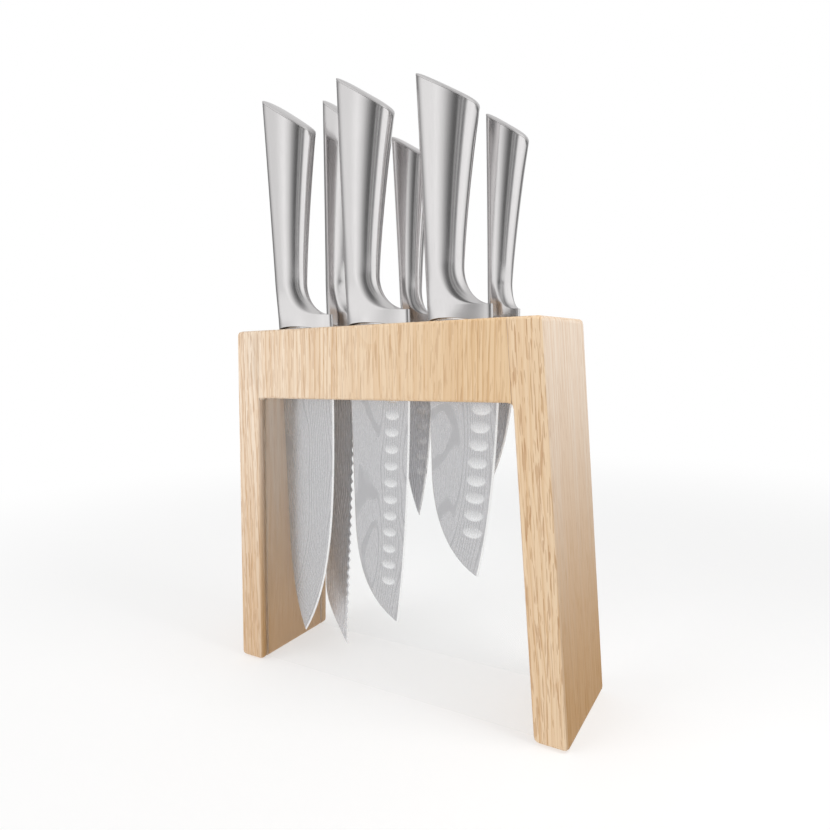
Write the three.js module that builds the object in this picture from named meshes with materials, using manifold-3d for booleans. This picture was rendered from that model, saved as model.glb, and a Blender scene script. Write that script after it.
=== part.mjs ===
// A bridge-shaped oak knife block with six steel knives hanging through its beam.
// Millimetres, +Z up, +Y to the back, origin on the floor under the middle of the block.
import * as THREE from "three";
import { ParametricGeometry } from "three/addons/geometries/ParametricGeometry.js";
import { mergeVertices } from "three/addons/utils/BufferGeometryUtils.js";
import Module from "manifold-3d";

const wasm = await Module();
wasm.setup();

// ---- driving sizes -------------------------------------------------------------------------

const block = {
  topLength: 203, // outside length at the top, the legs splay from here
  bottomLength: 226, // outside length at the feet
  depth: 68,
  height: 218, // floor to the top face
  beamHeight: 42.4,
  legThickness: 18.7, // measured level, along the length
  edgeRadius: 2, // of the arrises along the front and rear faces
  cornerRadius: 3.2, // of the corners seen from the front
};
const glueGap = 0.2; // between glued faces, and round a glued dowel

const pad = { radius: 5, thickness: 2, recess: 1.2, fromEnd: 16 };

const dowel = { radius: 4, inLeg: 12, inBeam: 18 };

const panel = {
  thickness: 1.8,
  play: 0.2, // each side of the panel in its groove
  grooveDepth: 3,
  fromFront: 5, // front face to the middle of the front groove
  fromRear: 7,
  aboveFloor: 2,
};

const slot = {
  sidePlay: 0.7, // each side of the blade's spine
  endPlay: 1.2, // before the spine and after the edge
};

const frontRowY = -14;
const handleGap = 1.5; // between the handles of the two rows
const firstSpine = 0.9; // first spine to the left leg, at the top face
const slotGap = 9.8; // between one front slot and the next
const restGap = 0.3; // bolster to the top face
const fitGap = 0.3; // between the pieces of one knife

const steel = { spine: 2.2, edge: 0.5, tang: 1.6, wall: 1.3 };
const tang = { start: 5, width: 12 }; // on a handle with a full waist, narrower on a small bolster
const arch = { start: 0.035, peak: 0.22, end: 0.7, height: 1.7 }; // places are shares of the width
const aroundHandle = 18; // facets round a handle

// How a handle's sides and sections bend.
const form = {
  leanPower: 1.5, // of the spine side as it leans out
  flarePower: 1.3, // of the belly side from the waist to the butt
  spineRadius: 6.5, // rounding of a large handle's spine side
  bellyShare: 0.6, // share of the width that rolls over into the belly side
  rim: 1.3, // half the thickness of the bolster's heel
  fullBy: 1.5, // full section from here up, in waist heights
};

// A handle: its two long sides, the waist above the bolster and the slanted butt.
const largeHandle = {
  spineLength: 140,
  bellyLength: 116.5,
  lean: 1,
  waistHeight: 28,
  waistWidth: 22.6,
  waistThickness: 15,
  buttWidth: 34.6,
  buttThickness: 21.5,
  heelHeight: 8,
  bolsterThickness: 10.5,
  hollowFrom: 20.8, // height where the hollow begins
  tangLength: 42,
};
const shortHandle = { ...largeHandle, spineLength: 130, bellyLength: 109, lean: 1.8, tangLength: 39.6 };
const uprightHandle = { ...largeHandle, lean: -1.2 };
const smallHandle = {
  spineLength: 110,
  bellyLength: 94.5,
  lean: 1.2,
  waistHeight: 20,
  waistWidth: 14.2,
  waistThickness: 11,
  buttWidth: 23.4,
  buttThickness: 16.5,
  heelHeight: 6,
  bolsterThickness: 8,
  hollowFrom: 14.9,
  tangLength: 34.2,
};
const cap = { wall: 0.8, dome: 2.2, boss: 3, bossTaper: 0.35 }; // the boss narrows as the handle does

// A blade hangs down from z = 0 with its spine at u = 0. Each curve runs from its start point
// through two control points to the tip: the spine stays straight down to spineEnd.
const knives = [
  {
    name: "chefs",
    row: "front",
    tilt: 0,
    bolster: 42.5,
    heel: 42.2,
    tip: [9.4, -200],
    spineEnd: -134,
    spineCurve: [
      [0, -164],
      [3, -184],
    ],
    edgeCurve: [
      [39, -80],
      [41, -154],
    ],
    handle: largeHandle,
  },
  {
    name: "large_santoku",
    row: "front",
    tilt: 0,
    bolster: 43,
    heel: 42.8,
    tip: [28.5, -180],
    spineEnd: -112,
    spineCurve: [
      [-0.6, -146],
      [5, -168],
    ],
    edgeCurve: [
      [41.4, -66],
      [38, -125],
    ],
    handle: uprightHandle,
  },
  {
    name: "small_santoku",
    row: "front",
    tilt: 0,
    bolster: 39,
    heel: 43.6,
    tip: [27.4, -142.6],
    spineEnd: -84,
    spineCurve: [
      [0, -112],
      [9, -134],
    ],
    edgeCurve: [
      [41.8, -60],
      [37, -108],
    ],
    handle: shortHandle,
  },
  {
    name: "bread",
    row: "rear",
    behind: "chefs",
    stagger: 20.4,
    tilt: 3.4,
    bolster: 25,
    heel: 24,
    tip: [18.5, -217],
    spineEnd: -176,
    spineCurve: [
      [0, -190],
      [8, -202],
    ],
    edgeCurve: [
      [22, -80],
      [21.4, -150],
    ],
    teeth: { pitch: 6.1, depth: 1.7, from: -16, to: -205 },
    handle: largeHandle,
  },
  {
    name: "utility",
    row: "rear",
    behind: "large_santoku",
    stagger: 23.6,
    tilt: 0,
    bolster: 22,
    heel: 21.4,
    tip: [8.4, -118.5],
    spineEnd: -74,
    spineCurve: [
      [0, -92],
      [3.4, -106],
    ],
    edgeCurve: [
      [21, -50],
      [17.6, -86],
    ],
    handle: smallHandle,
  },
  {
    name: "paring",
    row: "rear",
    behind: "small_santoku",
    stagger: 26,
    tilt: 1.6,
    bolster: 19,
    heel: 18,
    tip: [3.8, -91],
    spineEnd: -66,
    spineCurve: [
      [0, -78],
      [1.6, -85],
    ],
    edgeCurve: [
      [16.6, -40],
      [14.6, -66],
    ],
    handle: smallHandle,
  },
];

// ---- sizes that follow ---------------------------------------------------------------------

const rearRowY = frontRowY + largeHandle.buttThickness + handleGap;
const rowY = { front: frontRowY, rear: rearRowY };
const underside = block.height - block.beamHeight;
const legFoot = pad.thickness - pad.recess; // height of the legs' end grain above the floor
const splay = (block.bottomLength - block.topLength) / 2 / (block.height - legFoot);
const frontGrooveY = -block.depth / 2 + panel.fromFront;
const rearGrooveY = block.depth / 2 - panel.fromRear;

// Half the outside and inside lengths of the block at a height.
const outerX = (z) => block.topLength / 2 + (block.height - z) * splay;
const innerX = (z) => outerX(z) - block.legThickness;

// ---- materials -----------------------------------------------------------------------------

const oak = new THREE.MeshStandardMaterial({ color: 0xdcbd93, roughness: 0.6 });
const oakLeg = new THREE.MeshStandardMaterial({ color: 0xd3b085, roughness: 0.6 });
const beech = new THREE.MeshStandardMaterial({ color: 0xc79a66, roughness: 0.7 });
const acrylic = new THREE.MeshStandardMaterial({
  color: 0xf2f6f7,
  roughness: 0.05,
  transparent: true,
  opacity: 0.2,
});
const rubber = new THREE.MeshStandardMaterial({ color: 0x2b2b2b, roughness: 0.9 });
const bladeSteel = new THREE.MeshStandardMaterial({ color: 0xc9c9ca, roughness: 0.35, metalness: 1 });
const handleSteel = new THREE.MeshStandardMaterial({ color: 0xb9babb, roughness: 0.28, metalness: 1 });
const capSteel = new THREE.MeshStandardMaterial({ color: 0xc4c5c6, roughness: 0.4, metalness: 1 });

// ---- solids and meshes ---------------------------------------------------------------------

// A closed geometry as a manifold solid.
function solid(geometry) {
  const bare = geometry.index ? geometry.toNonIndexed() : geometry.clone();
  bare.deleteAttribute("normal");
  bare.deleteAttribute("uv");
  const merged = mergeVertices(bare, 1e-4);
  return new wasm.Manifold(
    new wasm.Mesh({
      numProp: 3,
      vertProperties: merged.attributes.position.array,
      triVerts: new Uint32Array(merged.index.array),
    }),
  );
}

// A manifold solid, or a closed geometry, as a named mesh.
function mesh(name, shape, material) {
  if (shape.isBufferGeometry) return named(name, shape, material);
  const { vertProperties, triVerts } = shape.getMesh();
  const geometry = new THREE.BufferGeometry();
  geometry.setAttribute("position", new THREE.BufferAttribute(vertProperties, 3));
  geometry.setIndex(new THREE.BufferAttribute(triVerts, 1));
  geometry.computeVertexNormals();
  return named(name, geometry, material);
}

function named(name, geometry, material) {
  const made = new THREE.Mesh(geometry, material);
  made.name = name;
  return made;
}

// A box from its low corner to its high corner.
function box(low, high) {
  const size = high.map((v, i) => v - low[i]);
  const middle = high.map((v, i) => (v + low[i]) / 2);
  return new THREE.BoxGeometry(...size).translate(...middle);
}

// A shape drawn in X and Z, extruded along Y between two planes.
function plate(shape, yLow, yHigh, curveSegments = 8, bevel = 0) {
  const geometry = new THREE.ExtrudeGeometry(shape, {
    depth: yHigh - yLow - 2 * bevel,
    curveSegments,
    bevelEnabled: bevel > 0,
    bevelSize: bevel,
    bevelThickness: bevel,
    bevelOffset: -bevel,
    bevelSegments: 3,
  });
  return geometry.rotateX(Math.PI / 2).translate(0, yHigh - bevel, 0);
}

// The outline through some points, with each corner rounded by a radius.
function roundedOutline(points, radius) {
  const shape = new THREE.Shape();
  points.forEach(([x, z], i) => {
    const corner = new THREE.Vector2(x, z);
    const before = new THREE.Vector2(...points.at(i - 1)).sub(corner).setLength(radius);
    const after = new THREE.Vector2(...points[(i + 1) % points.length]).sub(corner).setLength(radius);
    before.add(corner);
    after.add(corner);
    if (i === 0) shape.moveTo(before.x, before.y);
    else shape.lineTo(before.x, before.y);
    shape.quadraticCurveTo(corner.x, corner.y, after.x, after.y);
  });
  shape.closePath();
  return shape;
}

// ---- the wooden block ----------------------------------------------------------------------

// The whole block as one solid: a bridge with splayed legs and rounded arrises.
function blockBlank() {
  const outline = [
    [-outerX(legFoot), legFoot],
    [-innerX(legFoot), legFoot],
    [-innerX(underside), underside],
    [innerX(underside), underside],
    [innerX(legFoot), legFoot],
    [outerX(legFoot), legFoot],
    [outerX(block.height), block.height],
    [-outerX(block.height), block.height],
  ];
  const shape = roundedOutline(outline, block.cornerRadius);
  return solid(plate(shape, -block.depth / 2, block.depth / 2, 3, block.edgeRadius));
}

// Everything between the planes of the legs' inner faces, less a gap at each.
function betweenLegs(gap, yLow, yHigh) {
  const below = -10;
  const above = block.height + 10;
  const shape = new THREE.Shape([
    new THREE.Vector2(-innerX(below) + gap, below),
    new THREE.Vector2(innerX(below) - gap, below),
    new THREE.Vector2(innerX(above) - gap, above),
    new THREE.Vector2(-innerX(above) + gap, above),
  ]);
  return solid(plate(shape, yLow, yHigh));
}

// The two grooves that hold the clear panels, cut in the legs and up into the beam.
function panelGrooves() {
  const half = panel.thickness / 2 + panel.play;
  const shape = new THREE.Shape([
    new THREE.Vector2(-innerX(0) - panel.grooveDepth, 0),
    new THREE.Vector2(innerX(0) + panel.grooveDepth, 0),
    new THREE.Vector2(innerX(underside) + panel.grooveDepth, underside + panel.grooveDepth),
    new THREE.Vector2(-innerX(underside) - panel.grooveDepth, underside + panel.grooveDepth),
  ]);
  return [frontGrooveY, rearGrooveY].map((y) => solid(plate(shape, y - half, y + half)));
}

// The middle of each board of the beam, front to back, where its dowels go.
const boardEdges = [-block.depth / 2, frontRowY, rearRowY, block.depth / 2];
const dowelYs = [0, 1, 2].map((i) => (boardEdges[i] + boardEdges[i + 1]) / 2);
const dowelZ = block.height - block.beamHeight / 2;

// A dowel lying along X across the joint with the leg on one side, -1 left or +1 right.
function dowelPin(side, y, play) {
  const joint = innerX(dowelZ);
  const length = dowel.inLeg + dowel.inBeam + 2 * play;
  const middle = joint + (dowel.inLeg - dowel.inBeam) / 2;
  const geometry = new THREE.CylinderGeometry(dowel.radius + play, dowel.radius + play, length, 20);
  return geometry.rotateZ(Math.PI / 2).translate(side * middle, y, dowelZ);
}

// The four pads under the ends of the legs.
function padPlaces() {
  const x = (outerX(legFoot) + innerX(legFoot)) / 2;
  const y = block.depth / 2 - pad.fromEnd;
  return [
    ["front_left", -x, -y],
    ["front_right", x, -y],
    ["rear_left", -x, y],
    ["rear_right", x, y],
  ];
}

function padDisc(x, y, play) {
  const radius = pad.radius + play;
  const disc = new THREE.CylinderGeometry(radius, radius, pad.thickness + play, 24);
  return disc.rotateX(Math.PI / 2).translate(x, y, (pad.thickness + play) / 2);
}

function cutAll(body, cutters) {
  return cutters.reduce((left, cutter) => left.subtract(cutter), body);
}

function leg(side, blank) {
  const reach = block.bottomLength;
  const half = solid(box([0, -reach, -1], [reach, reach, 2 * reach]).translate(side < 0 ? -reach : 0, 0, 0));
  const body = blank.intersect(half).subtract(betweenLegs(0, -reach, reach));
  const dowelHoles = dowelYs.map((y) => solid(dowelPin(side, y, glueGap)));
  const recesses = padPlaces().map(([, x, y]) => solid(padDisc(x, y, fitGap)));
  return cutAll(body, [...panelGrooves(), ...dowelHoles, ...recesses]);
}

// One board of the beam: the boards meet on the rows' planes and share each slot between them.
function beamBoard(index, blank, places) {
  const low = index === 0 ? -block.depth : boardEdges[index] + glueGap / 2;
  const high = index === 2 ? block.depth : boardEdges[index + 1] - glueGap / 2;
  const body = blank.intersect(betweenLegs(glueGap, low, high));
  const above = solid(box([-block.topLength, low, underside - 1], [block.topLength, high, block.height + 1]));
  const holes = [-1, 1].map((side) => solid(dowelPin(side, dowelYs[index], glueGap)));
  const slots = places.map((place) => solid(slotCutter(place)));
  return cutAll(body.intersect(above), [...panelGrooves(), ...holes, ...slots]);
}

function panelSheet(y) {
  const bottom = panel.aboveFloor;
  const top = underside + panel.grooveDepth - panel.play;
  const inGroove = panel.grooveDepth - 2 * panel.play;
  const shape = new THREE.Shape([
    new THREE.Vector2(-innerX(bottom) - inGroove, bottom),
    new THREE.Vector2(innerX(bottom) + inGroove, bottom),
    new THREE.Vector2(innerX(top) + inGroove, top),
    new THREE.Vector2(-innerX(top) - inGroove, top),
  ]);
  return plate(shape, y - panel.thickness / 2, y + panel.thickness / 2);
}

// ---- the knives ----------------------------------------------------------------------------

// A cubic from a start point through its two controls to the tip.
function toTip(start, knife, controls) {
  const [a, b] = controls.map((p) => new THREE.Vector2(...p));
  const first = new THREE.Vector2(...start);
  return new THREE.CubicBezierCurve(first, a, b, new THREE.Vector2(...knife.tip));
}

const spineCurve = (knife) => toTip([0, knife.spineEnd], knife, knife.spineCurve);
const edgeCurve = (knife) => toTip([knife.heel, -fitGap], knife, knife.edgeCurve);

// The edge from the tip up to the heel, scalloped between two heights on a toothed blade.
function edgePoints(knife, steps) {
  const points = edgeCurve(knife).getPoints(steps).reverse();
  const teeth = knife.teeth;
  if (!teeth) return points;
  const [high, low] = [teeth.from, teeth.to];
  const count = Math.round((high - low) / teeth.pitch);
  const alongEdge = (z) => {
    const after = points.findIndex((p) => p.y >= z);
    const [a, b] = [points[after - 1], points[after]];
    return a.x + ((b.x - a.x) * (z - a.y)) / (b.y - a.y);
  };
  const scallops = [];
  for (let i = 0; i <= 4 * count; i++) {
    const z = low + ((high - low) * i) / (4 * count);
    const dip = Math.sin(((i % 4) / 4) * Math.PI);
    scallops.push(new THREE.Vector2(alongEdge(z) - teeth.depth * dip, z));
  }
  return [...points.filter((p) => p.y < low - 0.5), ...scallops, ...points.filter((p) => p.y > high + 0.5)];
}

// The arch under a bolster, from the spine side to the edge side, lowered by a gap.
function archCurve(knife, drop) {
  const width = knife.bolster;
  return new THREE.QuadraticBezierCurve(
    new THREE.Vector2(arch.start * width, -drop),
    new THREE.Vector2(arch.peak * width, 2 * arch.height - drop),
    new THREE.Vector2(arch.end * width, -drop),
  );
}

// Half the blade's thickness at a point: thick along the spine, thin along the edge and tip.
function halfThickness(knife, u, z) {
  const fromEdge = 1 - THREE.MathUtils.clamp(u / knife.heel, 0, 1);
  const fromTip = THREE.MathUtils.clamp(1 - z / knife.tip[1], 0, 1);
  const share = fromEdge * Math.min(1, 0.25 + 2 * fromTip);
  return (steel.edge + (steel.spine - steel.edge) * share) / 2;
}

function blade(knife) {
  const outline = [
    ...archCurve(knife, fitGap).getPoints(8),
    ...edgePoints(knife, 26).reverse(),
    ...spineCurve(knife).getPoints(12).reverse().slice(1),
    new THREE.Vector2(0, -fitGap),
  ];
  const sheet = plate(new THREE.Shape(outline), -1, 1);
  const at = sheet.getAttribute("position");
  for (let i = 0; i < at.count; i++) {
    at.setY(i, at.getY(i) * halfThickness(knife, at.getX(i), at.getZ(i)));
  }
  const share = knife.bolster / largeHandle.waistWidth;
  const start = tang.start * Math.min(1, share);
  const end = start + tang.width * Math.min(1, share - 0.2);
  const tangTop = knife.handle.tangLength;
  const stub = box([start, -steel.tang / 2, -2 * arch.height], [end, steel.tang / 2, tangTop]);
  return { geometry: solid(sheet).add(solid(stub)), tangStart: start, tangEnd: end };
}

// The two long sides of a handle, as distances from the spine line at a height.
const spineSide = (h, z) => -h.lean * Math.max(0, z / h.spineLength) ** form.leanPower;

function bellySide(h, bolster, z) {
  const waist = spineSide(h, h.waistHeight) + h.waistWidth;
  const butt = spineSide(h, h.spineLength) + h.buttWidth;
  if (z <= h.heelHeight) return bolster;
  if (z < h.waistHeight) {
    const up = (h.waistHeight - z) / (h.waistHeight - h.heelHeight);
    return bolster - (bolster - waist) * Math.sqrt(1 - up ** 2);
  }
  const rise = (z - h.waistHeight) / (h.bellyLength - h.waistHeight);
  return waist + (butt - waist) * rise ** form.flarePower;
}

// A quarter round, from 0 at its foot to 1.
function rounded(share) {
  const away = 1 - THREE.MathUtils.clamp(share, 0, 1);
  return Math.sqrt(1 - away ** 2);
}

// A point on a handle's skin. along runs from 0 at the bolster to 1 at the butt, and the
// sections tilt as they go, so that the last one is the slanted butt. inset moves it inwards.
function handlePoint(knife, along, angle, inset, target) {
  const h = knife.handle;
  const spineZ = h.spineLength * along;
  const bellyZ = h.bellyLength * along;
  const across = (1 - Math.cos(angle)) / 2;
  const left = spineSide(h, spineZ);
  const right = bellySide(h, knife.bolster, bellyZ);
  const x = THREE.MathUtils.lerp(left + inset, right - inset, across);
  const z = spineZ + ((bellyZ - spineZ) * (x - left)) / (right - left);

  // A broad, nearly flat side that thins to the bolster's heel and rolls over into the belly.
  const { lerp, smoothstep } = THREE.MathUtils;
  const rise = Math.max(0, (bellyZ - h.waistHeight) / (h.bellyLength - h.waistHeight));
  const waistThickness = lerp(h.bolsterThickness, h.waistThickness, smoothstep(bellyZ, 0, h.waistHeight));
  const broad = lerp(waistThickness, h.buttThickness, rise) / 2 - inset;
  const toHeel = smoothstep(x, h.waistWidth / 2, knife.bolster);
  const wedge = lerp(broad, Math.max(0, form.rim - inset), toHeel);
  const crown = lerp(wedge, broad, smoothstep(bellyZ, h.heelHeight, form.fullBy * h.waistHeight));
  const flare = (right - h.waistWidth) / (knife.bolster - h.waistWidth);
  const atHeel = rise === 0 ? THREE.MathUtils.clamp(flare, 0, 1) : 0;
  const bellyRadius = lerp(form.bellyShare * (right - left), 2 * form.rim, atHeel);
  const spineRadius = (form.spineRadius * h.waistWidth) / largeHandle.waistWidth;
  const half = crown * rounded((x - left - inset) / spineRadius) * rounded((right - inset - x) / bellyRadius);
  const side = Math.abs(Math.sin(angle)) < 1e-9 ? 0 : Math.sign(Math.sin(angle));
  target.set(x, side * half, z);
}

// A closed skin over a list of sections, each [share of the handle, inset, lift].
function skin(knife, sections) {
  const rows = sections.length + 1;
  const surface = (turn, up, target) => {
    const row = Math.round(up * rows);
    const end = row === 0 || row === rows;
    const [along, inset, lift] = sections[THREE.MathUtils.clamp(row - 1, 0, sections.length - 1)];
    handlePoint(knife, along, -turn * 2 * Math.PI, inset, target);
    if (end) {
      const opposite = new THREE.Vector3();
      handlePoint(knife, along, 0, inset, target);
      handlePoint(knife, along, Math.PI, inset, opposite);
      target.lerp(opposite, 0.5);
    }
    target.z += lift;
  };
  return solid(new ParametricGeometry(surface, aroundHandle, rows));
}

function handleSections(knife) {
  const h = knife.handle;
  const heights = [0, 0.9 * h.heelHeight];
  for (let i = 0; i <= 5; i++) {
    const drop = Math.sin((i / 5) * (Math.PI / 2));
    heights.push(h.waistHeight - (h.waistHeight - h.heelHeight) * (1 - drop ** 2) ** 0.75);
  }
  const last = heights.at(-1);
  for (let i = 1; i <= 7; i++) heights.push(last + ((h.bellyLength - last) * i) / 7);
  return heights.map((z) => [z / h.bellyLength, 0, 0]);
}

function handle(knife, tangStart, tangEnd) {
  const h = knife.handle;
  const outside = skin(knife, handleSections(knife));
  const hollow = [];
  for (let i = 0; i <= 5; i++) {
    const z = h.hollowFrom + ((h.bellyLength - h.hollowFrom) * i) / 5;
    hollow.push([z / h.bellyLength, steel.wall, 0]);
  }
  hollow.push([1, steel.wall, 2]);
  const inside = skin(knife, hollow);
  const across = steel.tang / 2 + fitGap;
  const slit = box([tangStart - fitGap, -across, -1], [tangEnd + fitGap, across, h.tangLength + fitGap]);
  const underArch = new THREE.Shape([
    ...archCurve(knife, 0).getPoints(8),
    new THREE.Vector2(arch.end * knife.bolster, -2),
    new THREE.Vector2(arch.start * knife.bolster, -2),
  ]);
  const archCut = plate(underArch, -h.buttThickness, h.buttThickness);
  return cutAll(outside, [inside, solid(slit), solid(archCut)]);
}

function buttCap(knife) {
  const h = knife.handle;
  const sections = [
    [1, steel.wall + fitGap + cap.bossTaper * cap.boss, fitGap - cap.boss],
    [1, steel.wall + fitGap, fitGap],
    [1, 0, fitGap],
    [1, 0, fitGap + cap.wall],
  ];
  for (const share of [0.25, 0.5, 0.75, 0.94]) {
    const inset = (h.buttThickness / 2) * (1 - Math.cos((share * Math.PI) / 2));
    sections.push([1, inset, fitGap + cap.wall + cap.dome * Math.sin((share * Math.PI) / 2)]);
  }
  return skin(knife, sections);
}

// ---- where each knife goes -----------------------------------------------------------------

// The front row starts at the left leg and leaves a gap after each slot; each rear knife is
// set off to the right of the front one before it.
function knifePlaces() {
  const places = new Map();
  let x = -innerX(block.height) + firstSpine;
  for (const knife of knives.filter((k) => k.row === "front")) {
    places.set(knife.name, { knife, x, y: rowY.front });
    x += Math.max(knife.bolster, knife.heel) + 2 * slot.endPlay + slotGap;
  }
  for (const knife of knives.filter((k) => k.row === "rear")) {
    places.set(knife.name, { knife, x: places.get(knife.behind).x + knife.stagger, y: rowY.rear });
  }
  return [...places.values()];
}

// A slot through the beam, long enough for the heel and for the knife's tilt. The slot beside
// the left leg runs out into the joint, where the leg closes it.
function slotCutter({ knife, x, y }) {
  const swing = block.beamHeight * Math.tan(THREE.MathUtils.degToRad(knife.tilt));
  const half = steel.spine / 2 + slot.sidePlay;
  const besideLeg = x < -innerX(block.height) + 2 * slot.endPlay;
  const start = besideLeg ? -outerX(0) : x - slot.endPlay - swing;
  const end = x + knife.heel + slot.endPlay;
  return box([start, y - half, underside - 1], [end, y + half, block.height + 1]);
}

function knifeGroup({ knife, x, y }) {
  const group = new THREE.Group();
  const { geometry, tangStart, tangEnd } = blade(knife);
  group.add(mesh(`${knife.name}_blade`, geometry, bladeSteel));
  group.add(mesh(`${knife.name}_handle`, handle(knife, tangStart, tangEnd), handleSteel));
  group.add(mesh(`${knife.name}_butt_cap`, buttCap(knife), capSteel));
  // A tilted knife stands on the edge side of its bolster.
  const tilt = THREE.MathUtils.degToRad(knife.tilt);
  group.position.set(x, y, block.height + restGap + knife.bolster * Math.sin(tilt));
  group.rotation.y = tilt;
  return group;
}

// ---- the assembly --------------------------------------------------------------------------

const root = new THREE.Group();
const blank = blockBlank();
const places = knifePlaces();

root.add(mesh("left_leg", leg(-1, blank), oakLeg));
root.add(mesh("right_leg", leg(1, blank), oakLeg));
["beam_front_board", "beam_middle_board", "beam_rear_board"].forEach((name, index) => {
  root.add(mesh(name, beamBoard(index, blank, places), oak));
});
for (const [side, sideName] of [
  [-1, "left"],
  [1, "right"],
]) {
  ["front", "middle", "rear"].forEach((row, index) => {
    root.add(mesh(`${sideName}_${row}_dowel`, dowelPin(side, dowelYs[index], 0), beech));
  });
}
root.add(mesh("front_panel", panelSheet(frontGrooveY), acrylic));
root.add(mesh("rear_panel", panelSheet(rearGrooveY), acrylic));
for (const [name, x, y] of padPlaces()) {
  root.add(mesh(`${name}_foot_pad`, padDisc(x, y, 0), rubber));
}
for (const place of places) root.add(knifeGroup(place));

export default root;
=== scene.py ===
import math

import bmesh
import bpy
from mathutils import Matrix, Vector


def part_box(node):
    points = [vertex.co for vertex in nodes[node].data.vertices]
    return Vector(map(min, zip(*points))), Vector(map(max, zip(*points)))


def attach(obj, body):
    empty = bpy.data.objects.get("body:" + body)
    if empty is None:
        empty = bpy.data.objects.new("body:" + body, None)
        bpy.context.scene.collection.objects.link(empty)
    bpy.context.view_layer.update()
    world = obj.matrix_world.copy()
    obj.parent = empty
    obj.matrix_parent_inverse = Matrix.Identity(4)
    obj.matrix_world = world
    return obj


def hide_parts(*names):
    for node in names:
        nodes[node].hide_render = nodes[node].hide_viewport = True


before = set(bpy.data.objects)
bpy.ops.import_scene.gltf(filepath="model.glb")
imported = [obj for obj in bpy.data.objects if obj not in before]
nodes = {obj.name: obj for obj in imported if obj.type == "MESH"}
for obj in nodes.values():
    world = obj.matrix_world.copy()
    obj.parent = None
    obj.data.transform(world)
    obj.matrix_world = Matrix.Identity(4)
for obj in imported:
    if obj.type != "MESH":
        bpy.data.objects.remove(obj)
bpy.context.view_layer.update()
print("frame loaded,", len(nodes), "nodes")

mm = 0.001
sameSpot = 1e-6  # metres
sameSpotMm = 1e-4  # in the knives' own frames, which are in millimetres
nearlyZero = 1e-9


# camera

cameraSettings = {
    "place": (0.2020, -0.3233, 0.2024),
    "turn": 30.84,  # degrees to the right of the front
    "down": 5.78,
    "roll": -1.6,
    "lens": 27.25,
    "sensor": 36,
    "nearest": 0.01,
}


def addCamera(settings):
    turn, down, roll = (math.radians(settings[key]) for key in ("turn", "down", "roll"))
    ahead = Vector((-math.sin(turn) * math.cos(down), math.cos(turn) * math.cos(down), -math.sin(down)))
    right = ahead.cross(Vector((0, 0, 1))).normalized()
    up = right.cross(ahead)
    tiltedRight = right * math.cos(roll) + up * math.sin(roll)
    tiltedUp = up * math.cos(roll) - right * math.sin(roll)
    camera = bpy.data.objects.new("camera", bpy.data.cameras.new("camera"))
    camera.data.lens = settings["lens"]
    camera.data.sensor_width = settings["sensor"]
    camera.data.clip_start = settings["nearest"]
    rows = [(tiltedRight[i], tiltedUp[i], -ahead[i], settings["place"][i]) for i in range(3)]
    camera.matrix_world = Matrix(rows + [(0, 0, 0, 1)])
    bpy.context.scene.collection.objects.link(camera)
    bpy.context.scene.camera = camera


addCamera(cameraSettings)
bpy.context.scene.view_settings.view_transform = "Standard"
print("camera placed")


# a small kit for node trees


def mix(a, b, share):
    return a + (b - a) * share


def ease(value, low, high):
    share = min(1, max(0, (value - low) / (high - low)))
    return share * share * (3 - 2 * share)


def tint(red, green, blue):  # display values 0 to 255, as linear colour
    def linear(v):
        v = v / 255
        return v / 12.92 if v <= 0.04045 else ((v + 0.055) / 1.055) ** 2.4

    return (linear(red), linear(green), linear(blue), 1)


def grey(value):
    return (value, value, value, 1)


class Wire:
    # a socket that takes part in sums

    def __init__(self, maker, socket):
        self.maker = maker
        self.socket = socket

    def __add__(self, other):
        return self.maker.maths("ADD", self, other)

    def __radd__(self, other):
        return self.maker.maths("ADD", other, self)

    def __sub__(self, other):
        return self.maker.maths("SUBTRACT", self, other)

    def __rsub__(self, other):
        return self.maker.maths("SUBTRACT", other, self)

    def __mul__(self, other):
        return self.maker.maths("MULTIPLY", self, other)

    def __rmul__(self, other):
        return self.maker.maths("MULTIPLY", other, self)


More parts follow.
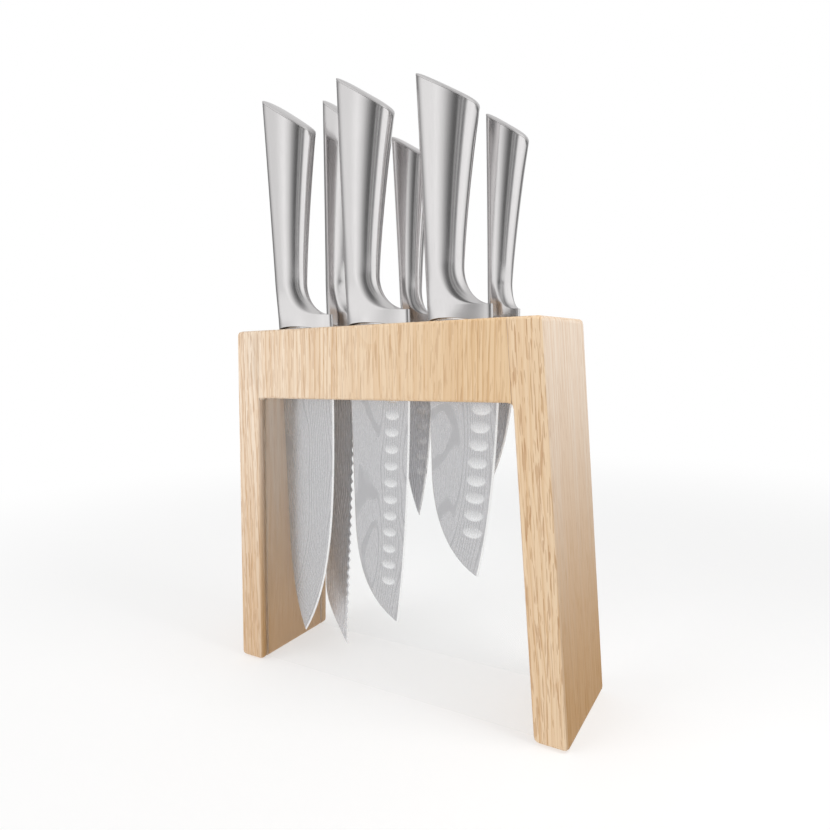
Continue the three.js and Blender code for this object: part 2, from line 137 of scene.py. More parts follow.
class Maker:
    # adds the nodes of one material or world

    def __init__(self, owner):
        owner.use_nodes = True
        self.tree = owner.node_tree
        self.tree.nodes.clear()

    def add(self, kind, settings=None, inputs=None, out=0):
        made = self.tree.nodes.new(kind)
        for key, value in (settings or {}).items():
            if key == "stops":
                self.setStops(made.color_ramp, value)
            else:
                setattr(made, key, value)
        for key, value in (inputs or {}).items():
            if isinstance(value, Wire):
                self.tree.links.new(value.socket, made.inputs[key])
            else:
                made.inputs[key].default_value = value
        return Wire(self, made.outputs[out]) if len(made.outputs) else made

    def setStops(self, ramp, stops):
        while len(ramp.elements) < len(stops):
            ramp.elements.new(0.5)
        for element, (place, shade) in zip(ramp.elements, stops):
            element.position = place
            element.color = grey(shade)

    def maths(self, operation, first, second=0.0):
        return self.add("ShaderNodeMath", {"operation": operation}, {0: first, 1: second})

    def blend(self, share, first, second):
        return self.add("ShaderNodeMix", {"data_type": "RGBA"}, {0: share, 6: first, 7: second}, out=2)

    def between(self, value, low, high, start=0.0, end=1.0):
        inputs = {"Value": value, "From Min": low, "From Max": high, "To Min": start, "To Max": end}
        return self.add("ShaderNodeMapRange", {"interpolation_type": "SMOOTHSTEP"}, inputs)

    def noise(self, place, scale, detail=2.0, roughness=0.5, distortion=0.0):
        inputs = {
            "Vector": place,
            "Scale": scale,
            "Detail": detail,
            "Roughness": roughness,
            "Distortion": distortion,
        }
        return self.add("ShaderNodeTexNoise", {}, inputs)

    def spots(self, place, look):  # a noise cut into patches with soft rims
        return self.between(self.noise(place, *look["noise"]), *look["rim"])

    def placed(self, shift=(0, 0, 0), turn=(0, 0, 0), stretch=(1, 1, 1)):
        place = self.add("ShaderNodeTexCoord", out="Object")
        inputs = {"Vector": place, "Location": shift, "Rotation": turn, "Scale": stretch}
        return self.add("ShaderNodeMapping", {"vector_type": "TEXTURE"}, inputs)

    def apart(self, vector, axis):  # one part of a vector
        return self.add("ShaderNodeSeparateXYZ", {}, {0: vector}, out="XYZ"["xyz".index(axis)])

    def attribute(self, name):
        return self.add("ShaderNodeAttribute", {"attribute_name": name}, {}, out="Fac")

    def bump(self, height, strength, distance):
        inputs = {"Strength": strength, "Distance": distance, "Height": height}
        return self.add("ShaderNodeBump", {}, inputs)

    def finish(self, inputs):
        shader = self.add("ShaderNodeBsdfPrincipled", {}, inputs)
        self.add("ShaderNodeOutputMaterial", {}, {"Surface": shader})


def newMaterial(name):
    material = bpy.data.materials.new(name)
    return material, Maker(material)


def pieceFrom(bm, name, materials, smooth=0.0):
    mesh = bpy.data.meshes.new(name)
    bm.to_mesh(mesh)
    bm.free()
    piece = bpy.data.objects.new(name, mesh)
    bpy.context.scene.collection.objects.link(piece)
    for material in materials:
        mesh.materials.append(material)
    if smooth:
        for face in mesh.polygons:
            face.use_smooth = True
        mesh.set_sharp_from_angle(angle=math.radians(smooth))
    return piece


# studio

studioSettings = {
    # brightness round the object: degrees from the front, positive to the right
    "mirrored": [  # the white cards and black flags that the steel shows
        (-180, 0.8),
        (-150, 1.0),
        (-128, 0.5),
        (-112, 0.12),
        (-84, 0.3),
        (-58, 0.6),
        (-36, 0.84),
        (-24, 1.0),
        (-12, 0.74),
        (-3, 0.4),
        (6, 0.15),
        (16, 0.06),
        (20, 0.5),
        (24, 0.07),
        (29, 0.6),
        (33, 0.1),
        (40, 0.35),
        (46, 0.95),
        (76, 1.0),
        (100, 0.8),
        (122, 0.1),
        (152, 0.4),
        (180, 0.8),
    ],
    "gloss": 0.1,  # how much brighter the cards are than white
    "fill": [  # the soft light of the room itself
        (-180, 0.6),
        (-100, 0.62),
        (-40, 0.85),
        (10, 0.72),
        (60, 0.3),
        (120, 0.22),
        (180, 0.6),
    ],
    "ceiling": 0.66,
    "ceilingFrom": (0.25, 0.75),  # a ray's upward part, where the walls turn into the ceiling
    "backdrop": (255, 255, 255),
}

lampSettings = [
    # name, place, target, size, watts
    ("key", (-0.75, -1.05, 0.55), (0.0, 0.0, 0.14), 0.9, 6.8),
    ("side", (0.30, -0.02, 0.47), (0.1, 0.0, 0.24), 0.14, 0.8),
]

floorSettings = {
    "half": 6.0,
    "paper": 0.5,
    "glow": 0.52,
    "near": 0.25,
    "far": 0.9,
    "grain": (60, 4),
    "grainShare": 0.02,
}


def addStudio(settings):
    world = bpy.data.worlds.new("studio")
    bpy.context.scene.world = world
    m = Maker(world)
    ray = m.add("ShaderNodeTexCoord", out="Generated")
    x, y, z = (m.apart(ray, axis) for axis in "xyz")
    share = m.maths("ARCTAN2", x, 0.0 - y) * (0.5 / math.pi) + 0.5
    mirrored, fill = (
        m.add(
            "ShaderNodeValToRGB",
            {"stops": [((degrees + 180) / 360, shade) for degrees, shade in settings[key]]},
            {"Fac": share},
        )
        for key in ("mirrored", "fill")
    )
    walls = m.blend(m.add("ShaderNodeLightPath", out="Is Glossy Ray"), fill, mirrored)
    up = m.between(z, *settings["ceilingFrom"])
    room = m.blend(up, walls, grey(settings["ceiling"]))
    seen = m.add("ShaderNodeLightPath", out="Is Camera Ray")
    colour = m.blend(seen, room, tint(*settings["backdrop"]))
    strength = 1.0 + settings["gloss"] * m.add("ShaderNodeLightPath", out="Is Glossy Ray")
    light = m.add("ShaderNodeBackground", {}, {"Color": colour, "Strength": strength})
    m.add("ShaderNodeOutputWorld", {}, {"Surface": light})


def addLamp(name, place, target, size, watts):
    data = bpy.data.lights.new(name, "AREA")
    data.size = size
    data.energy = watts
    lamp = bpy.data.objects.new(name, data)
    lamp.location = place
    lamp.visible_glossy = False
    lamp.rotation_euler = (Vector(target) - Vector(place)).to_track_quat("-Z", "Y").to_euler()
    bpy.context.scene.collection.objects.link(lamp)


def addFloor(settings):  # pale paper that turns into a lit white sweep away from the object
    material, m = newMaterial("floor_paper")
    place = m.placed()
    distance = m.add("ShaderNodeVectorMath", {"operation": "LENGTH"}, {0: place}, out="Value")
    away = m.between(distance, settings["near"], settings["far"])
    grain = m.noise(place, *settings["grain"]) * settings["grainShare"]
    colour = m.blend(away, grey(settings["paper"]), grey(0))
    inputs = {
        "Base Color": m.blend(grain, colour, grey(0)),
        "Roughness": 0.9,
        "Specular IOR Level": 0.0,
        "Emission Color": m.blend(away, grey(settings["glow"]), grey(1)),
        "Emission Strength": 1.0,
    }
    m.finish(inputs)
    bm = bmesh.new()
    bmesh.ops.create_grid(bm, x_segments=2, y_segments=2, size=settings["half"])
    pieceFrom(bm, "floor", [material])


addStudio(studioSettings)
for lamp in lampSettings:
    addLamp(*lamp)
addFloor(floorSettings)
print("studio made")


# the oak

oakSettings = {
    "pale": (236, 219, 199),
    # a warmer wood tone, which is also the shaded end of the painted shade from left to right
    "warmAndShaded": (221, 190, 150),
    # painted shade: the colour the wood takes low down, where less light reaches it
    "paintedLowShade": (180, 132, 64),
    # the sides' own paler quarter-sawn tone, partly painted highlight from the light above
    "sideToneAndHighlight": (224, 210, 196),
    "streak": (164, 114, 64),
    "line": (200, 156, 104),
    "ring": (190, 143, 88),
    "ringsPerMetre": 300,
    "roughness": 0.52,
    "grainStretch": 15,  # how many times longer than wide a streak is
    "ringStretch": 75,
    "figureStretch": 6,
    # noises: scale, detail, roughness, distortion
    "fibre": (1500, 2, 0.6),
    "wave": (22, 1, 0.4, 0.3),
    "waveLines": 17,
    "wobble": (45, 2, 0.5),  # of the rings, and by how many rings
    "wobbleRings": 3.5,
    "patch": (14, 2),
    "pores": {"noise": (1250, 1, 0.4), "rim": (0.59, 0.63)},
    "dashes": {"noise": (900, 1, 0.4, 0.2), "rim": (0.62, 0.66)},
    "bands": {"noise": (430, 1, 0.4, 0.1), "rim": (0.44, 0.56)},
    "strong": {"noise": (30, 1), "rim": (0.4, 0.62)},
    "flatWithin": 0.5,  # degrees between facets that are one flat face
    "smoothUnder": 42,
}

boardLooks = {
    # node: shift of the figure, lean of the grain in degrees, painted shade from left to right,
    # painted shade low down on the front and on the sides (a share below zero paints light there),
    # streaks, slot
    "left_leg": ((0.31, 0.1, 0.2), 1.5, (0.0, 0.4), (0.5, 0.95), 0.4, "oak_leg"),
    "right_leg": ((1.27, 0.4, 0.6), -2.5, (0.9, 0.8), (-0.3, 1.0), 0.55, "oak_leg"),
    "beam_front_board": ((2.11, 0.7, 0.1), 2.0, (0.1, 1.1), (0.0, 0.0), 0.3, "oak_beam"),
    "beam_middle_board": ((3.05, 0.2, 0.9), 1.0, (0.3, 0.6), (0.0, 0.0), 0.3, "oak_beam"),
    "beam_rear_board": ((4.43, 0.5, 0.4), -1.0, (0.3, 0.6), (0.0, 0.0), 0.4, "oak_beam"),
}


def makeOak(name, shift, lean, paintedShadeAcross, lowShadeShares, streaks, settings):
    material, m = newMaterial(name)
    turn = (0, math.radians(lean), 0)
    grain, rings, figure = (
        m.placed(shift, turn, (1, 1, settings[key + "Stretch"])) for key in ("grain", "ring", "figure")
    )
    pores = m.spots(grain, settings["pores"])
    dashes = m.spots(grain, settings["dashes"])
    fibre = m.noise(rings, *settings["fibre"])
    bands = m.spots(rings, settings["bands"])
    wave = m.noise(figure, *settings["wave"]) * settings["waveLines"]
    contour = m.between(m.maths("FRACT", wave), 0.0, 0.2, 1.0, 0.0)
    straight = m.placed(shift, turn)
    through = m.apart(straight, "x") + m.apart(straight, "y") * 0.7
    wobble = m.noise(figure, *settings["wobble"]) * settings["wobbleRings"]
    count = through * settings["ringsPerMetre"] + wobble
    ring = m.between(m.maths("FRACT", count), 0.0, 0.4, 1.0, 0.0)
    strong = m.spots(figure, settings["strong"])
    side = m.attribute("side")
    x, z = m.apart(m.placed(), "x"), m.apart(m.placed(), "z")
    # painted shade: the wood turns from pale to warmer and darker from left to right, as the light falls
    # from the left
    across = m.between(x, -0.1, 0.1, *paintedShadeAcross)
    patch = m.noise(figure, *settings["patch"])
    # painted shade: darker towards the floor, by one share on the front faces and one on the sides; a
    # share below zero paints light there instead
    front, flank = lowShadeShares
    paintedLowShade = m.between(z, 0.0, 0.2, 1.0, 0.0) * (side * (flank - front) + front)
    coarse = side * -0.7 + 1.0  # the quarter-sawn sides show fine straight lines only
    colour = m.blend(across + (patch - 0.5) * 0.3, tint(*settings["pale"]), tint(*settings["warmAndShaded"]))
    # the sides paler: partly their own quarter-sawn tone, partly painted highlight
    colour = m.blend(side * 0.8, colour, tint(*settings["sideToneAndHighlight"]))
    colour = m.blend(paintedLowShade, colour, tint(*settings["paintedLowShade"]))
    colour = m.blend(bands * 0.24, colour, tint(*settings["line"]))
    colour = m.blend(ring * (strong * 0.45 + 0.15) * coarse, colour, tint(*settings["ring"]))
    colour = m.blend(contour * coarse * 0.16, colour, tint(*settings["line"]))
    colour = m.blend(dashes * coarse * streaks, colour, tint(*settings["streak"]))
    colour = m.blend(pores * coarse * streaks * 0.8, colour, tint(*settings["streak"]))
    colour = m.blend((fibre - 0.5) * 0.4 + 0.08, colour, tint(*settings["pale"]))
    height = fibre * 0.3 - pores * 0.7 - dashes * 0.4
    rough = settings["roughness"] + pores * 0.15
    bump = m.bump(height, 0.2, 0.0001)
    m.finish({"Base Color": colour, "Roughness": rough, "Normal": bump, "Specular IOR Level": 0.35})
    return material


def mergedCopy(node, flatWithin):  # a node's loose triangles, joined into flat faces
    bm = bmesh.new()
    bm.from_mesh(nodes[node].data)
    bmesh.ops.remove_doubles(bm, verts=bm.verts, dist=sameSpot)
    bmesh.ops.dissolve_limit(bm, angle_limit=math.radians(flatWithin), verts=bm.verts, edges=bm.edges)
    return bm


def makeBoard(node, material, settings):
    bm = mergedCopy(node, settings["flatWithin"])
    bmesh.ops.triangulate(bm, faces=bm.faces)
    sideLayer = bm.faces.layers.float.new("side")
    for face in bm.faces:  # 1 on the faces that look to the right or left
        face[sideLayer] = ease(abs(face.normal.x), 0.3, 0.9)
    piece = pieceFrom(bm, node + "_wood", [material], settings["smoothUnder"])
    weighted = piece.modifiers.new("flat faces keep their shading", "WEIGHTED_NORMAL")
    weighted.keep_sharp = True
    return piece


def makeWood():
    for node, (shift, lean, paintedShadeAcross, lowShadeShares, streaks, slot) in boardLooks.items():
        material = makeOak(node + "_oak", shift, lean, paintedShadeAcross, lowShadeShares, streaks, oakSettings)
        piece = makeBoard(node, material, oakSettings)
        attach(piece, "block")
        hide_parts(node)


makeWood()
print("wood made")


# dowels, panels and pads

dowelSettings = {
    "pale": (214, 176, 128),
    "dark": (176, 132, 86),
    "lines": (700, 3),
    "flecks": {"noise": (900, 1), "rim": (0.6, 0.7)},
}
panelSettings = {
    "bevel": 0.25 * mm,
    "alpha": 0.035,
    "colour": (238, 244, 246),
    "wipe": (40, 3),
    "flatWithin": 1,
    "smoothUnder": 40,
}
padSettings = {
    "bevel": 0.5 * mm,
    "sides": 48,
    "groove": 1.6 * mm,
    "dark": (38, 38, 40),
    "pale": (56, 56, 58),
    "grain": (2500, 3),
    "crease": 0.5,  # radians between faces that meet in an edge to round
    "smoothUnder": 40,
}


def roundEdges(bm, edges, offset, segments):
    bmesh.ops.bevel(
        bm, geom=edges, affect="EDGES", offset=offset, segments=segments, profile=0.5, material=-1
    )


def dressDowels(settings):
    material, m = newMaterial("dowel_beech")
    lines = m.noise(m.placed(stretch=(14, 1, 1)), *settings["lines"])
    flecks = m.spots(m.placed(stretch=(5, 1, 1)), settings["flecks"])
    colour = m.blend(lines, tint(*settings["dark"]), tint(*settings["pale"]))
    colour = m.blend(flecks * 0.5, colour, tint(*settings["dark"]))
    m.finish({"Base Color": colour, "Roughness": 0.65, "Normal": m.bump(lines, 0.2, 0.0002)})
    for node, thing in nodes.items():
        if node.endswith("_dowel"):
            thing.data.materials.clear()
            thing.data.materials.append(material)


def makePanels(settings):
    material, m = newMaterial("clear_acrylic")
    wipe = m.noise(m.placed(stretch=(1, 1, 3)), *settings["wipe"])
    inputs = {
        "Base Color": tint(*settings["colour"]),
        "Roughness": m.between(wipe, 0.3, 0.8, 0.03, 0.09),
        "Alpha": settings["alpha"],
        "IOR": 1.49,
    }
    m.finish(inputs)
    for node in ("front_panel", "rear_panel"):
        bm = mergedCopy(node, settings["flatWithin"])
        roundEdges(bm, bm.edges[:], settings["bevel"], 2)
        piece = pieceFrom(bm, node + "_sheet", [material], settings["smoothUnder"])
        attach(piece, "block")
        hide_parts(node)


def makePads(settings):
    material, m = newMaterial("pad_rubber")
    grain = m.noise(m.placed(), *settings["grain"])
    colour = m.blend(grain, tint(*settings["dark"]), tint(*settings["pale"]))
    rough = m.between(grain, 0.3, 0.7, 0.75, 0.95)
    m.finish({"Base Color": colour, "Roughness": rough, "Normal": m.bump(grain, 0.3, 0.0002)})
    for node in [name for name in nodes if name.endswith("_foot_pad")]:
        low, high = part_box(node)
        radius = (high.x - low.x) / 2
        bm = bmesh.new()
        bmesh.ops.create_cone(
            bm,
            cap_ends=True,
            segments=settings["sides"],
            radius1=radius,
            radius2=radius,
            depth=high.z - low.z,
            matrix=Matrix.Translation((low + high) / 2),
        )
        under = [face for face in bm.faces if face.normal.z < -0.9]
        bmesh.ops.inset_region(bm, faces=under, thickness=settings["groove"], depth=0)
        rims = [edge for edge in bm.edges if len(edge.link_faces) == 2]
        rims = [edge for edge in rims if edge.calc_face_angle() > settings["crease"]]
        rims = [edge for edge in rims if abs(edge.verts[0].co.z - edge.verts[1].co.z) < sameSpot]
        roundEdges(bm, rims, settings["bevel"], 3)
        piece = pieceFrom(bm, node + "_disc", [material], settings["smoothUnder"])
        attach(piece, "block")
        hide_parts(node)


dressDowels(dowelSettings)
makePanels(panelSettings)
makePads(padSettings)
print("panels and pads made")


# the knives: sizes in millimetres, each blade hanging down from z = 0 with its spine at u = 0

largeHandle = {
    "spineLength": 140,
    "bellyLength": 116.5,
    "lean": 1,
    "waistHeight": 28,
    "waistWidth": 22.6,
    "waistThickness": 15,
    "buttWidth": 34.6,
    "buttThickness": 21.5,
    "heelHeight": 8,
    "bolsterThickness": 10.5,
}
shortHandle = {**largeHandle, "spineLength": 130, "bellyLength": 109, "lean": 1.8}
uprightHandle = {**largeHandle, "lean": -1.2}
smallHandle = {
    "spineLength": 110,
    "bellyLength": 94.5,
    "lean": 1.2,
    "waistHeight": 20,
    "waistWidth": 14.2,
    "waistThickness": 11,
    "buttWidth": 23.4,
    "buttThickness": 16.5,
    "heelHeight": 6,
    "bolsterThickness": 8,
}

knives = {
    "chefs": {
        "tilt": 0,
        "bolster": 42.5,
        "heel": 42.2,
        "tip": (9.4, -200),
        "spineEnd": -134,
        "spineCurve": ((0, -164), (3, -184)),
        "edgeCurve": ((39, -80), (41, -154)),
        "handle": largeHandle,
    },
    "large_santoku": {
        "tilt": 0,
        "bolster": 43,
        "heel": 42.8,
        "tip": (28.5, -180),
        "spineEnd": -112,
        "spineCurve": ((-0.6, -146), (5, -168)),
        "edgeCurve": ((41.4, -66), (38, -125)),
        "handle": uprightHandle,
        "hollows": {"first": (31.9, -12.4), "last": (22.6, -154.2), "pitch": 10.1, "size": (5.0, 3.0)},
    },
    "small_santoku": {
        "tilt": 0,
        "bolster": 39,
        "heel": 43.6,
        "tip": (27.4, -142.6),
        "spineEnd": -84,
        "spineCurve": ((0, -112), (9, -134)),
        "edgeCurve": ((41.8, -60), (37, -108)),
        "handle": shortHandle,
        "hollows": {"first": (34.3, -18.3), "last": (24.6, -117.2), "pitch": 9.9, "size": (6.2, 3.6)},
    },
    "bread": {
        "tilt": 3.4,
        "bolster": 25,
        "heel": 24,
        "tip": (18.5, -217),
        "spineEnd": -176,
        "spineCurve": ((0, -190), (8, -202)),
        "edgeCurve": ((22, -80), (21.4, -150)),
        "teeth": {"pitch": 6.1, "depth": 1.7, "from": -16, "to": -205},
        "handle": largeHandle,
    },
    "utility": {
        "tilt": 0,
        "bolster": 22,
        "heel": 21.4,
        "tip": (8.4, -118.5),
        "spineEnd": -74,
        "spineCurve": ((0, -92), (3.4, -106)),
        "edgeCurve": ((21, -50), (17.6, -86)),
        "handle": smallHandle,
        "hollows": {"first": (13.9, -13.8), "last": (11.1, -89.8), "pitch": 9.5, "size": (4.0, 2.6)},
    },
    "paring": {
        "tilt": 1.6,
        "bolster": 19,
        "heel": 18,
        "tip": (3.8, -91),
        "spineEnd": -66,
        "spineCurve": ((0, -78), (1.6, -85)),
        "edgeCurve": ((16.6, -40), (14.6, -66)),
        "handle": smallHandle,
    },
}

arch = {
    "start": 0.035,  # places are shares of the width
    "peak": 0.22,
    "end": 0.7,
    "height": 1.7,
    "bladeFade": 12,  # how far from the bolster's underside the arch has died out
    "handleFade": 14,
    "halvings": 24,
}
curveHalvings = 30


def seat(name, knife):  # where the knife's own frame lies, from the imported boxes
    tilt = math.radians(knife["tilt"])
    handleLow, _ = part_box(name + "_handle")
    bladeLow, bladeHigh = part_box(name + "_blade")
    x = handleLow.x if tilt else bladeLow.x
    y = (bladeLow.y + bladeHigh.y) / 2
    z = handleLow.z + knife["bolster"] * mm * math.sin(tilt)
    return Matrix.Translation((x, y, z)) @ Matrix.Rotation(tilt, 4, "Y") @ Matrix.Scale(mm, 4)


def bezier(start, first, second, end, t):
    rest = 1 - t
    return [
        rest**3 * a + 3 * rest * rest * t * b + 3 * rest * t * t * c + t**3 * d
        for a, b, c, d in zip(start, first, second, end)
    ]


def curveAtHeight(start, controls, end, z):  # u on a curve where it passes a height
    low, high = 0.0, 1.0
    for _ in range(curveHalvings):
        middle = (low + high) / 2
        if bezier(start, *controls, end, middle)[1] > z:
            low = middle
        else:
            high = middle
    return bezier(start, *controls, end, (low + high) / 2)[0]


def archHeight(knife, u):  # height of the arch under the bolster
    width = knife["bolster"]
    start, peak, end = (arch[key] * width for key in ("start", "peak", "end"))
    if not start < u < end:
        return 0.0
    low, high = 0.0, 1.0
    for _ in range(arch["halvings"]):
        t = (low + high) / 2
        at = (1 - t) ** 2 * start + 2 * t * (1 - t) * peak + t * t * end
        low, high = (t, high) if at < u else (low, t)
    return 4 * t * (1 - t) * arch["height"]


def archRise(knife, u, away, fade):  # what is left of the arch at a distance from the underside
    return archHeight(knife, u) * max(0, 1 - away / fade) ** 2


def finishKnifePiece(bm, name, knife, part, material, smooth):
    bmesh.ops.transform(bm, matrix=seat(name, knife), verts=bm.verts)
    piece = pieceFrom(bm, f"{name}_{part}_piece", [material], smooth)
    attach(piece, name + "_knife")
    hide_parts(f"{name}_{part}")


# blades

bladeSettings = {
    "spine": 2.2,  # thickness
    "edge": 0.5,
    "sharp": 0.2,  # share of the thickness that is left at the very edge
    "spineShare": 0.8,  # and along the spine's outer line, which rounds its corners
    "tipShare": 0.25,  # of the wedge at the tip, and how fast it grows along the blade
    "tipGain": 2,
    "gap": 0.3,
    "columns": 84,  # on a blade of the full width
    "fullWidth": 43,
    "fewestColumns": 30,
    "grindColumns": 2,
    "rowPitch": 0.55,
    "rowCrowding": 1.15,  # over 1, the rows lie closer together towards the tip
    "grindWidth": 1.2,  # of the bright cutting edge
    "hollowDepth": 0.3,
    "hollowPower": 0.7,
    "hollowRim": 0.3,
    "fullDepthFrom": 0.5,  # half thickness where a hollow reaches its full depth
    "smoothUnder": 24,
}


def spineAt(knife, z):
    if z >= knife["spineEnd"]:
        return 0.0
    return curveAtHeight((0, knife["spineEnd"]), knife["spineCurve"], knife["tip"], z)


def edgeAt(knife, z):
    return curveAtHeight((knife["heel"], -bladeSettings["gap"]), knife["edgeCurve"], knife["tip"], z)


def toothAt(knife, z):  # how far the edge is cut back between the points of the teeth
    teeth = knife.get("teeth")
    if not teeth or not teeth["to"] <= z <= teeth["from"]:
        return 0.0
    count = round((teeth["from"] - teeth["to"]) / teeth["pitch"])
    share = (teeth["from"] - z) / (teeth["from"] - teeth["to"]) * count
    return teeth["depth"] * abs(math.sin(math.pi * share))


def hollowAt(knife, u, z):  # depth of the nearest hollow, and the painted highlight on it, brightest at its foot
    settings, hollows = bladeSettings, knife.get("hollows")
    if not hollows:
        return 0.0, 0.0
    (u0, z0), (u1, z1) = hollows["first"], hollows["last"]
    count = round((z0 - z1) / hollows["pitch"])
    nearest = min(count, max(0, round((z0 - z) / (z0 - z1) * count)))
    share = nearest / count
    wide, tall = hollows["size"]
    beside, above = (u - mix(u0, u1, share)) / wide, (z - mix(z0, z1, share)) / tall
    dip = max(0, 1 - beside**2 - above**2)
    paintedHighlight = ease(dip, 0, settings["hollowRim"]) * (1 - above) / 2
    return settings["hollowDepth"] * dip ** settings["hollowPower"], paintedHighlight


def halfThickness(knife, u, z, fromEdge):
    settings = bladeSettings
    fromTip = min(1, max(0, 1 - z / knife["tip"][1]))
    wedge = 1 - min(1, max(0, u / knife["heel"]))
    share = wedge * min(1, settings["tipShare"] + settings["tipGain"] * fromTip)
    half = (settings["edge"] + (settings["spine"] - settings["edge"]) * share) / 2
    half -= hollowAt(knife, u, z)[0] * min(1, half / settings["fullDepthFrom"])
    if fromEdge < settings["grindWidth"]:
        half *= mix(settings["sharp"], 1, fromEdge / settings["grindWidth"])
    return half


def makeBlade(name, knife, material):
    settings = bladeSettings
    share = knife["heel"] / settings["fullWidth"]
    columns = max(settings["fewestColumns"], round(settings["columns"] * share))
    plain = columns - settings["grindColumns"]  # the columns outside the cutting edge's strip
    rows = round(-knife["tip"][1] / settings["rowPitch"])
    bm = bmesh.new()
    bmesh.ops.create_grid(bm, x_segments=columns, y_segments=rows, size=0.5)
    fromEdgeLayer = bm.verts.layers.float.new("fromEdge")
    hollowHighlightLayer = bm.verts.layers.float.new("hollow")
    for vert in bm.verts:
        column = (vert.co.x + 0.5) * columns
        down = vert.co.y + 0.5
        z = mix(-settings["gap"], knife["tip"][1], 1 - (1 - down) ** settings["rowCrowding"])
        left, plainEdge = spineAt(knife, z), edgeAt(knife, z)
        right = plainEdge - toothAt(knife, z)
        width = max(0, right - left)
        strip = min(settings["grindWidth"], width / 2)
        if column <= plain:
            u = left + (width - strip) * column / plain
        else:
            u = right - strip * (columns - column) / settings["grindColumns"]
        half = halfThickness(knife, u, z, right - u)
        if column < 0.5:  # the spine's outer line
            half *= settings["spineShare"]
        vert[fromEdgeLayer] = (plainEdge - u) * mm
        vert[hollowHighlightLayer] = hollowAt(knife, u, z)[1]
        vert.co = (u, -half, z + archRise(knife, u, -z, arch["bladeFade"]))
    bmesh.ops.remove_doubles(bm, verts=bm.verts, dist=sameSpotMm)
    front = bm.verts[:] + bm.edges[:] + bm.faces[:]
    back = bmesh.ops.duplicate(bm, geom=front)["geom"]
    for vert in [item for item in back if isinstance(item, bmesh.types.BMVert)]:
        vert.co.y *= -1
    bmesh.ops.bridge_loops(bm, edges=[edge for edge in bm.edges if edge.is_boundary])
    bmesh.ops.recalc_face_normals(bm, faces=bm.faces)
    finishKnifePiece(bm, name, knife, "blade", material, settings["smoothUnder"])


# handles and their caps

handleSettings = {
    "around": 72,
    "footShares": (0.12, 0.3, 0.5, 0.7, 0.85, 0.95),  # of the heel's height
    "curveSteps": 22,
    "curvePower": 1.5,
    "upperSteps": 36,
    "leanPower": 1.5,
    "flarePower": 1.3,
    "spineRadius": 6.5,
    "bellyShare": 0.6,  # share of the width that rolls over into the belly
    "rim": 1.3,
    "fullBy": 1.5,
    "wall": 1.3,
    "rimDepth": 3,
    "arris": 0.3,
    "topArris": 0.06,
    "cornerRadius": 2.0,  # of the butt's corner on the belly side
    "cornerFrom": 0.8,  # share of the length where that corner starts
    "smoothUnder": 38,
}
capSettings = {"gap": 0.05, "plug": 1.2, "wall": 0.95, "dome": 1.9, "domeReach": 0.94, "domeSteps": 10}


def spineSide(handle, z):
    return -handle["lean"] * max(0, z / handle["spineLength"]) ** handleSettings["leanPower"]


def bellySide(handle, bolster, z):
    heelHeight, waistHeight = handle["heelHeight"], handle["waistHeight"]
    waist = spineSide(handle, waistHeight) + handle["waistWidth"]
    butt = spineSide(handle, handle["spineLength"]) + handle["buttWidth"]
    if z <= heelHeight:
        return bolster
    if z < waistHeight:
        up = (waistHeight - z) / (waistHeight - heelHeight)
        return bolster - (bolster - waist) * math.sqrt(1 - up * up)
    rise = (z - waistHeight) / (handle["bellyLength"] - waistHeight)
    return waist + (butt - waist) * rise ** handleSettings["flarePower"]


def rounded(share):  # a quarter round, from 0 at its foot to 1
    away = 1 - min(1, max(0, share))
    return math.sqrt(1 - away * away)


def handlePoint(knife, along, angle, inset=0.0, lift=0.0):
    settings, handle, bolster = handleSettings, knife["handle"], knife["bolster"]
    waistHeight, waistWidth = handle["waistHeight"], handle["waistWidth"]
    spineZ, bellyZ = handle["spineLength"] * along, handle["bellyLength"] * along
    across = (1 - math.cos(angle)) / 2
    left, right = spineSide(handle, spineZ), bellySide(handle, bolster, bellyZ)
    x = mix(left + inset, right - inset, across)
    z = spineZ + (bellyZ - spineZ) * (x - left) / (right - left)
    rise = max(0, (bellyZ - waistHeight) / (handle["bellyLength"] - waistHeight))
    lower = mix(handle["bolsterThickness"], handle["waistThickness"], ease(bellyZ, 0, waistHeight))
    broad = mix(lower, handle["buttThickness"], rise) / 2 - inset
    wedge = mix(broad, max(0, settings["rim"] - inset), ease(x, waistWidth / 2, bolster))
    crown = mix(wedge, broad, ease(bellyZ, handle["heelHeight"], settings["fullBy"] * waistHeight))
    flare = 0
    if rise == 0:
        flare = min(1, max(0, (right - waistWidth) / (bolster - waistWidth)))
    bellyRadius = mix(settings["bellyShare"] * (right - left), settings["rim"] * 2, flare)
    spineRadius = settings["spineRadius"] * waistWidth / largeHandle["waistWidth"]
    half = crown * rounded((x - left - inset) / spineRadius) * rounded((right - inset - x) / bellyRadius)
    side = 0 if abs(math.sin(angle)) < nearlyZero else math.copysign(1, math.sin(angle))
    radius = settings["cornerRadius"]
    corner = min(1, max(0, 1 - (right - x) / radius))
    z -= radius * (1 - math.sqrt(1 - corner * corner)) * ease(along, settings["cornerFrom"], 1)
    return Vector((x, side * half, z + lift))


def openEdges(ring):  # the edges along a ring that still lack a face, each one once
    inRing = set(ring)
    near = dict.fromkeys(edge for vert in ring for edge in vert.link_edges)
    return [edge for edge in near if len(edge.link_faces) < 2 and inRing.issuperset(edge.verts)]


def extrudeRing(bm, ring):  # a new ring above the last, in the same order
    made = bmesh.ops.extrude_edge_only(bm, edges=openEdges(ring))["geom"]
    new = {vert for vert in made if isinstance(vert, bmesh.types.BMVert)}
    return [next(e.other_vert(v) for e in v.link_edges if e.other_vert(v) in new) for v in ring]


